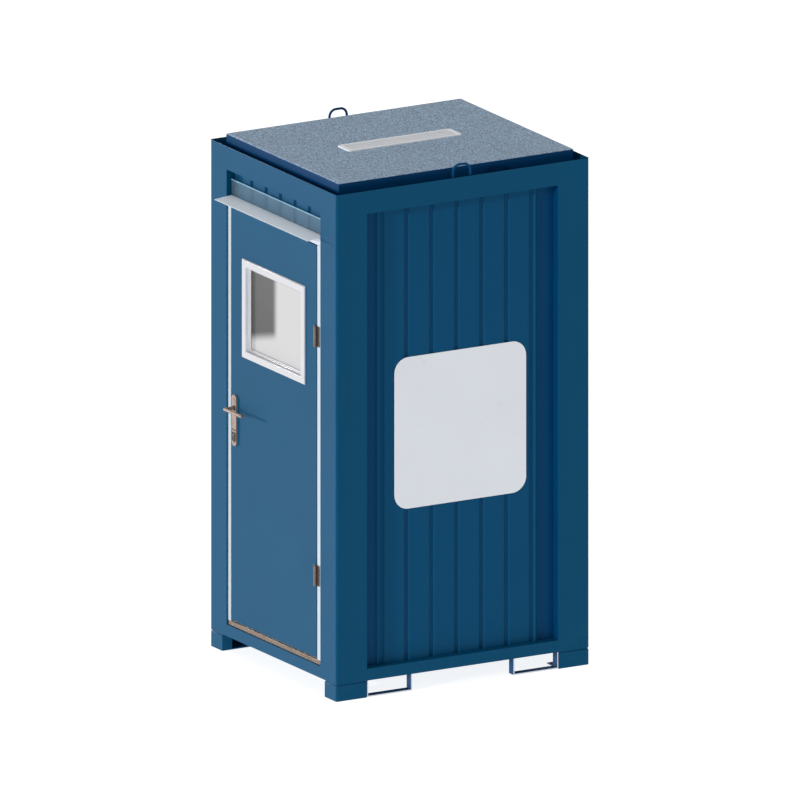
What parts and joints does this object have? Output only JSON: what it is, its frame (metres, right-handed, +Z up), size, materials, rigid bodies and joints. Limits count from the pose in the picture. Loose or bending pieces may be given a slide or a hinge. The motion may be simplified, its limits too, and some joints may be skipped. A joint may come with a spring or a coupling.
{
  "type": "single-door sanitary cabin",
  "caption": "Single-door sanitary cabin: steel corner frame on four feet with fork pockets, grooved panel walls, glazed door under a small canopy, flat roof with lifting eyes.",
  "frame": {"origin": "on the ground, at the middle of the cabin's overall box", "axes": "+Z up, -Y towards the door side, +X towards the door's hinges"},
  "size_m": [1.2, 1.459, 2.563],
  "materials": {
    "frame_paint": "satin",
    "skin_paint": "satin",
    "leaf_paint": "satin",
    "roof_coat": "grainy matte",
    "door_frame_white": "satin",
    "lining_white": "satin",
    "floor_covering": "matte",
    "sill_metal": "brushed, dull",
    "canopy_sheet": "satin",
    "clear_screen": "clear",
    "plate_white": "satin",
    "hinge_metal": "satin",
    "window_white": "semi-gloss",
    "frosted_pane": "frosted",
    "handle_metal": "satin",
    "lock_metal": "satin",
    "vent_white": "matte"
  },
  "bodies": {
    "root": {"foot_front_left": "frame_paint", "foot_front_right": "frame_paint", "foot_back_left": "frame_paint", "foot_back_right": "frame_paint", "bottom_rail_front": "frame_paint", "bottom_rail_back": "frame_paint", "bottom_rail_left": "frame_paint", "bottom_rail_right": "frame_paint", "fork_straps_left": "frame_paint", "fork_straps_right": "frame_paint", "post_front_left": "frame_paint", "post_front_right": "frame_paint", "post_back_left": "frame_paint", "post_back_right": "frame_paint", "top_rail_front": "frame_paint", "top_rail_back": "frame_paint", "top_rail_left": "frame_paint", "top_rail_right": "frame_paint", "lifting_eye_left": "frame_paint", "lifting_eye_right": "frame_paint", "wall_left": "skin_paint", "wall_right": "skin_paint", "wall_back": "skin_paint", "transom_panel": "skin_paint", "front_panel_left": "lining_white", "front_panel_right": "lining_white", "floor_panel": "floor_covering", "roof_panel": "roof_coat", "roof_vent": "vent_white", "jamb_latch_side": "door_frame_white", "jamb_hinge_side": "door_frame_white", "door_head": "door_frame_white", "door_sill": "sill_metal", "canopy": "canopy_sheet", "canopy_screen": "clear_screen", "blank_plate": "plate_white", "hinge_frame_halves": "hinge_metal"},
    "door": {"hinge_leaf_halves": "hinge_metal", "door_leaf": "leaf_paint", "window_frame": "window_white", "window_trim": "window_white", "window_pane": "frosted_pane", "handle_plates": "handle_metal", "lock_cylinder": "lock_metal"},
    "lever": {"door_lever": "handle_metal"}
  },
  "joints": [
    {"name": "door_hinge", "type": "hinge", "parent": "root", "child": "door", "pos_m": [0.4025, -0.663, 1.1685], "axis": [0, 0, 1], "range_deg": [0, 105]},
    {"name": "lever_turn", "type": "hinge", "parent": "door", "child": "lever", "pos_m": [-0.374, -0.6335, 1.225], "axis": [0, 1, 0], "range_deg": [0, 40], "stiffness_Nm_per_rad": 1.5, "springref_deg": -22.92}
  ]
}
